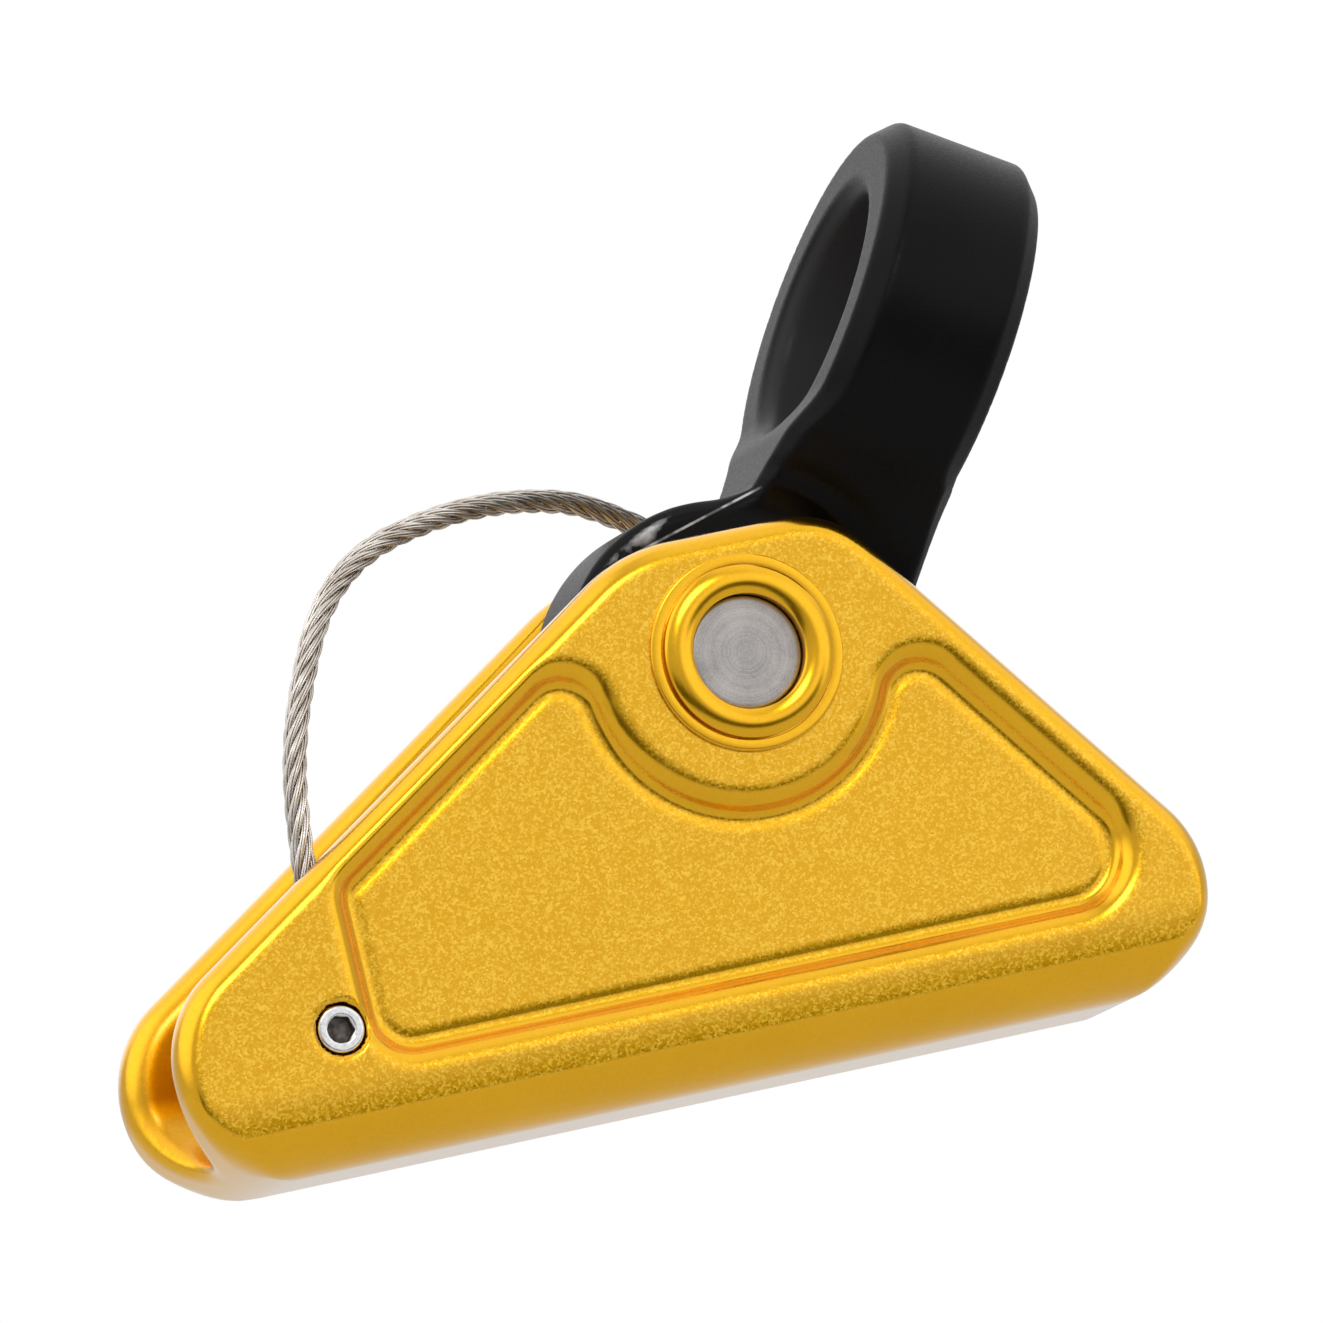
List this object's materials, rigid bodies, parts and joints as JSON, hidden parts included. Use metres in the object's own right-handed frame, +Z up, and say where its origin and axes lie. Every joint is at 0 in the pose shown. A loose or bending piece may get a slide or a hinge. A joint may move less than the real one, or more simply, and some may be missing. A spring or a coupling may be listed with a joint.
{
  "type": "cam rope grab",
  "caption": "Cam rope grab: a U-channel shell for the rope, a pivoting cam with a ring eye, and a removable ball-lock pivot pin on a wire tether.",
  "frame": {"origin": "on the rope channel's axis, straight under the pivot pin's axis", "axes": "+X along the rope channel towards the shell's short end, +Y along the pivot pin towards its head, +Z up, away from the shell's flat base"},
  "size_m": [0.1066, 0.0451, 0.089],
  "materials": {
    "gold_anodised": "satin",
    "black_anodised": "satin",
    "bronze": "satin",
    "spring_steel": "satin",
    "turned_steel": "satin",
    "dark_steel": "satin",
    "ball_steel": "polished",
    "stainless_fitting": "satin",
    "wire_rope": "satin",
    "stainless_screw": "gloss"
  },
  "bodies": {
    "shell": {"shell": "gold_anodised", "washer_front": "bronze", "washer_rear": "bronze", "lanyard_cable": "wire_rope", "anchor_terminal": "stainless_fitting", "anchor_screw": "stainless_screw"},
    "cam": {"cam": "black_anodised", "cam_bushing": "bronze", "cam_spring": "spring_steel"},
    "pin_carrier": {"lanyard_eyelet": "stainless_fitting"},
    "pin": {"pin_shank": "turned_steel", "pin_head": "turned_steel", "eyelet_ring": "spring_steel", "spindle_spring": "spring_steel"},
    "button": {"release_button": "dark_steel", "pin_spindle": "turned_steel"},
    "ball_low": {"lock_ball_lower": "ball_steel"},
    "ball_high": {"lock_ball_upper": "ball_steel"}
  },
  "joints": [
    {"name": "cam_pivot", "type": "hinge", "parent": "shell", "child": "cam", "pos_m": [0, 0, 0.0285], "axis": [0, -1, 0], "range_deg": [0, 40], "stiffness_Nm_per_rad": 0.02, "springref_deg": -34.38, "deforming": ["cam_spring"]},
    {"name": "pin_pull", "type": "slide", "parent": "shell", "child": "pin_carrier", "axis": [0, 1, 0], "range_m": [0, 0.0285], "deforming": ["lock_ball_lower", "lock_ball_upper"]},
    {"name": "pin_spin", "type": "hinge", "parent": "pin_carrier", "child": "pin", "pos_m": [0, 0, 0.0285], "axis": [0, 1, 0], "continuous": true},
    {"name": "button_press", "type": "slide", "parent": "pin", "child": "button", "axis": [0, -1, 0], "range_m": [0, 0.002], "stiffness_N_per_m": 900, "springref_m": -0.003, "deforming": ["spindle_spring"]},
    {"name": "ball_low_slide", "type": "slide", "parent": "pin", "child": "ball_low", "axis": [0, 0, 1], "range_m": [0, 0.00086]},
    {"name": "ball_high_slide", "type": "slide", "parent": "pin", "child": "ball_high", "axis": [0, 0, -1], "range_m": [0, 0.00086]}
  ],
  "couplings": [
    {"joint": "ball_low_slide", "follows": "button_press", "ratio": 0.425},
    {"joint": "ball_high_slide", "follows": "button_press", "ratio": 0.425}
  ]
}
